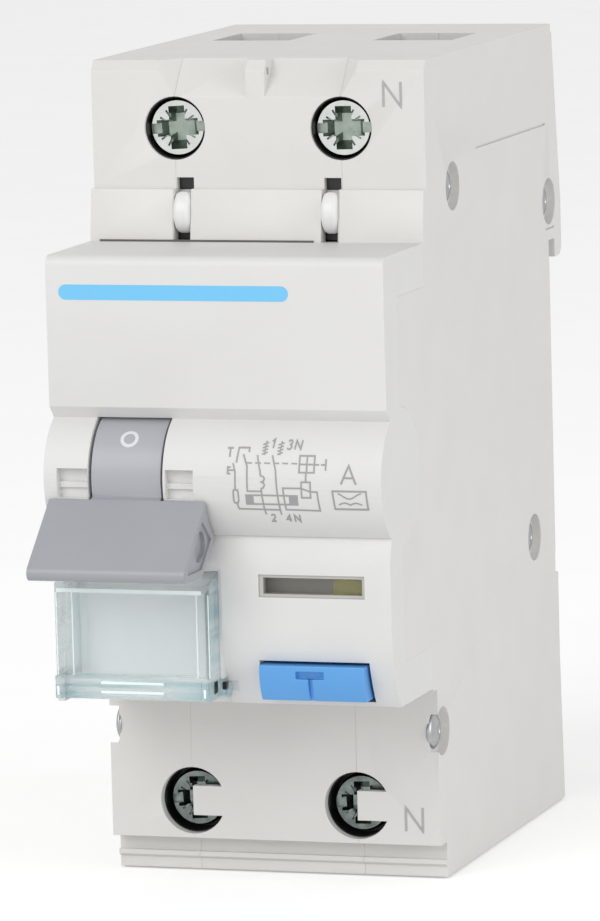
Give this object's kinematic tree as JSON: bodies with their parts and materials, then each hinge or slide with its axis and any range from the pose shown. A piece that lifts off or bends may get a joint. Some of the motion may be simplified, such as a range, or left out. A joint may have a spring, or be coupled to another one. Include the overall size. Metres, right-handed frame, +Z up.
{
  "type": "residual current device",
  "caption": "Two-module residual current breaker for a mounting rail, with toggle handle, test button, fault indicator, clear label flap and clamp terminals.",
  "frame": {"origin": "centre of the flat rail seat at the back, level with the mounting rail's centre line", "axes": "+X to the right seen from the front, +Y from the front towards the rail, +Z up along the long side"},
  "size_m": [0.0356, 0.0763, 0.0844],
  "materials": {
    "housing_plastic": "fine satin moulded",
    "cover_plastic": "fine satin moulded",
    "handle_plastic": "fine satin moulded",
    "clear_plastic": "clear, slightly blue-green",
    "label_board": "smooth",
    "blue_plastic": "satin",
    "white_plastic": "satin",
    "window_plastic": "clear, slightly grey",
    "flag_plastic": "satin",
    "plated_steel": "zinc plated",
    "plain_steel": "bright",
    "copper": "bare copper",
    "ferrite": "moulded",
    "fibre_board": "laminated",
    "dark_plastic": "moulded"
  },
  "bodies": {
    "housing": {"left_shell": "housing_plastic", "middle_housing": "housing_plastic", "right_shell": "housing_plastic", "front_cover": "cover_plastic", "rivet_upper_front": "plated_steel", "rivet_upper_rear": "plated_steel", "rivet_lower_front": "plated_steel", "rivet_lower_rear": "plated_steel", "handle_pin": "plain_steel", "contact_pin": "plain_steel", "label_card": "label_board", "test_button_spring": "plain_steel", "test_contact_blade": "copper", "test_resistor": "ferrite", "indicator_window": "window_plastic", "din_clip_spring": "plain_steel", "line_slot_insert": "white_plastic", "neutral_slot_insert": "white_plastic", "magnetic_coil": "copper", "coil_yoke": "plain_steel", "coil_plunger": "plain_steel", "bimetal_strip": "plain_steel", "toroid_core": "ferrite", "toroid_winding": "copper", "trip_relay": "dark_plastic", "circuit_board": "fibre_board", "upper_line_bar": "copper", "lower_line_bar": "copper", "line_fixed_contact": "copper", "line_arc_chute": "plain_steel", "upper_neutral_bar": "copper", "lower_neutral_bar": "copper", "neutral_fixed_contact": "copper", "neutral_arc_chute": "plain_steel"},
    "handle": {"handle": "handle_plastic"},
    "flap": {"label_flap": "clear_plastic"},
    "test_button": {"test_button": "blue_plastic"},
    "indicator": {"indicator_flag": "flag_plastic"},
    "rail_clip": {"din_clip": "housing_plastic"},
    "line_arm": {"line_contact_arm": "copper"},
    "upper_line_screw": {"upper_line_screw": "plated_steel"},
    "upper_line_cage": {"upper_line_cage": "plated_steel"},
    "lower_line_screw": {"lower_line_screw": "plated_steel"},
    "lower_line_cage": {"lower_line_cage": "plated_steel"},
    "neutral_arm": {"neutral_contact_arm": "copper"},
    "upper_neutral_screw": {"upper_neutral_screw": "plated_steel"},
    "upper_neutral_cage": {"upper_neutral_cage": "plated_steel"},
    "lower_neutral_screw": {"lower_neutral_screw": "plated_steel"},
    "lower_neutral_cage": {"lower_neutral_cage": "plated_steel"}
  },
  "joints": [
    {"name": "handle_swing", "type": "hinge", "parent": "housing", "child": "handle", "pos_m": [-0.0091, -0.057, 0], "axis": [-1, 0, 0], "range_deg": [0, 70]},
    {"name": "line_contact_swing", "type": "hinge", "parent": "housing", "child": "line_arm", "pos_m": [-0.0089, -0.0268, 0.003], "axis": [1, 0, 0], "range_deg": [0, 25.01]},
    {"name": "neutral_contact_swing", "type": "hinge", "parent": "housing", "child": "neutral_arm", "pos_m": [0.0089, -0.0268, 0.003], "axis": [1, 0, 0], "range_deg": [0, 25.01]},
    {"name": "flap_swing", "type": "hinge", "parent": "housing", "child": "flap", "pos_m": [-0.0087, -0.0602, -0.0214], "axis": [1, 0, 0], "range_deg": [0, 90]},
    {"name": "test_button_push", "type": "slide", "parent": "housing", "child": "test_button", "axis": [0, 1, 0], "range_m": [0, 0.0012], "stiffness_N_per_m": 400, "springref_m": -0.0015},
    {"name": "indicator_slide", "type": "slide", "parent": "housing", "child": "indicator", "axis": [-1, 0, 0], "range_m": [0, 0.004]},
    {"name": "rail_clip_slide", "type": "slide", "parent": "housing", "child": "rail_clip", "axis": [0, 0, -1], "range_m": [0, 0.004], "stiffness_N_per_m": 1500, "springref_m": -0.002, "deforming": ["din_clip_spring"]},
    {"name": "upper_line_screw_turn", "type": "hinge", "parent": "housing", "child": "upper_line_screw", "pos_m": [-0.0089, -0.042, 0.03405], "axis": [0, 1, 0], "range_deg": [0, 4322]},
    {"name": "upper_line_cage_slide", "type": "slide", "parent": "housing", "child": "upper_line_cage", "axis": [0, -1, 0], "range_m": [0, 0.0084]},
    {"name": "lower_line_screw_turn", "type": "hinge", "parent": "housing", "child": "lower_line_screw", "pos_m": [-0.0089, -0.042, -0.0358], "axis": [0, -1, 0], "range_deg": [0, 4322]},
    {"name": "lower_line_cage_slide", "type": "slide", "parent": "housing", "child": "lower_line_cage", "axis": [0, 1, 0], "range_m": [0, 0.0084]},
    {"name": "upper_neutral_screw_turn", "type": "hinge", "parent": "housing", "child": "upper_neutral_screw", "pos_m": [0.0089, -0.042, 0.03405], "axis": [0, 1, 0], "range_deg": [0, 4322]},
    {"name": "upper_neutral_cage_slide", "type": "slide", "parent": "housing", "child": "upper_neutral_cage", "axis": [0, -1, 0], "range_m": [0, 0.0084]},
    {"name": "lower_neutral_screw_turn", "type": "hinge", "parent": "housing", "child": "lower_neutral_screw", "pos_m": [0.0089, -0.042, -0.0358], "axis": [0, -1, 0], "range_deg": [0, 4322]},
    {"name": "lower_neutral_cage_slide", "type": "slide", "parent": "housing", "child": "lower_neutral_cage", "axis": [0, 1, 0], "range_m": [0, 0.0084]}
  ],
  "couplings": [
    {"joint": "line_contact_swing", "follows": "handle_swing", "ratio": 0.35714},
    {"joint": "neutral_contact_swing", "follows": "handle_swing", "ratio": 0.35714},
    {"joint": "upper_line_screw_turn", "follows": "upper_line_cage_slide", "rad_per_m": 8976},
    {"joint": "lower_line_screw_turn", "follows": "lower_line_cage_slide", "rad_per_m": 8976},
    {"joint": "upper_neutral_screw_turn", "follows": "upper_neutral_cage_slide", "rad_per_m": 8976},
    {"joint": "lower_neutral_screw_turn", "follows": "lower_neutral_cage_slide", "rad_per_m": 8976}
  ]
}
